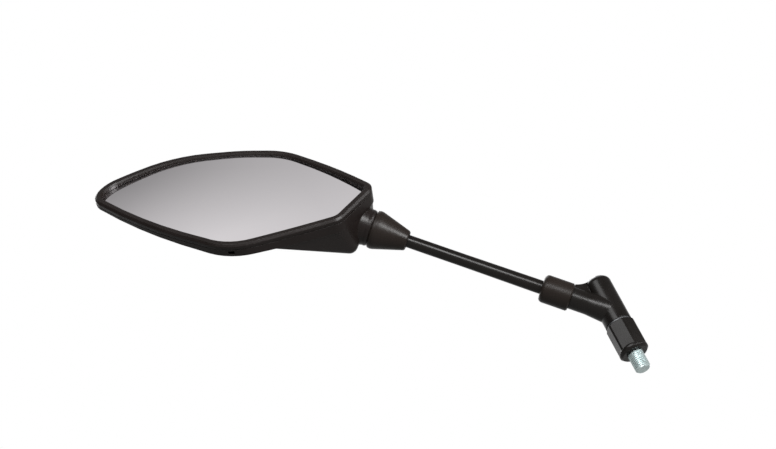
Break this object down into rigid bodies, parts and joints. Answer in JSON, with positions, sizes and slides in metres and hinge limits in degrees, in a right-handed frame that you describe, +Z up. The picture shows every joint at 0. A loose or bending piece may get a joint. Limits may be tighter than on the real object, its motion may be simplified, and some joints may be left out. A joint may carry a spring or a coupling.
{
  "type": "motorcycle rear-view mirror",
  "caption": "Left-hand motorcycle mirror: convex glass in a leaf-shaped housing on a ball joint, straight stem, cast elbow and swivelling hexagon adapter with a threaded stud.",
  "frame": {"origin": "centre of the stud's shoulder, where the hexagon adapter meets the handlebar perch", "axes": "+Z up the stud's axis towards the elbow, the glass looks towards -Y (the rider), the stem leans towards -X (the rider's left)"},
  "size_m": [0.2823, 0.0594, 0.2507],
  "materials": {
    "black_abs": "satin, moulded",
    "gloss_abs": "polished moulding",
    "black_coat": "gloss black powder coat",
    "black_rubber": "matte, moulded",
    "zinc": "bright zinc plating",
    "spring_steel": "oiled, blue-grey",
    "black_oxide": "black oxide",
    "acetal": "smooth natural acetal",
    "carrier_plastic": "plain moulded",
    "foam": "closed-cell adhesive foam",
    "silvered_glass": "silvered convex glass"
  },
  "bodies": {
    "base": {"threaded_stud": "zinc", "hex_adapter": "black_coat", "pivot_screw": "black_oxide", "disc_springs": "spring_steel", "flat_washer": "zinc", "friction_washer": "zinc"},
    "arm": {"elbow": "black_coat", "top_plug": "gloss_abs", "stem_rod": "black_coat", "lock_nut": "zinc", "rod_cap": "black_rubber", "joint_ball": "zinc"},
    "boot": {"ball_boot": "black_rubber"},
    "liner": {"outer_seat": "acetal", "inner_seat": "acetal"},
    "head": {"rear_housing": "black_abs", "bezel": "black_abs", "pressure_cup": "acetal", "pressure_spring": "spring_steel", "clamp_plate": "zinc", "clamp_screws": "zinc", "carrier_plate": "carrier_plastic", "foam_pad": "foam", "mirror_glass": "silvered_glass"}
  },
  "joints": [
    {"name": "arm_swivel", "type": "hinge", "parent": "base", "child": "arm", "pos_m": [0, 0, 0.0326], "axis": [0, 0, 1], "continuous": true},
    {"name": "head_spin", "type": "hinge", "parent": "arm", "child": "boot", "pos_m": [-0.1264, 0, 0.13866], "axis": [-0.766, 0, 0.6428], "continuous": true},
    {"name": "head_tilt", "type": "hinge", "parent": "boot", "child": "liner", "pos_m": [-0.1264, 0, 0.13866], "axis": [-0.1407, 0.9757, -0.1677], "range_deg": [-11, 11]},
    {"name": "head_pan", "type": "hinge", "parent": "liner", "child": "head", "pos_m": [-0.1264, 0, 0.13866], "axis": [0.6272, 0.219, 0.7475], "range_deg": [-11, 11]}
  ]
}
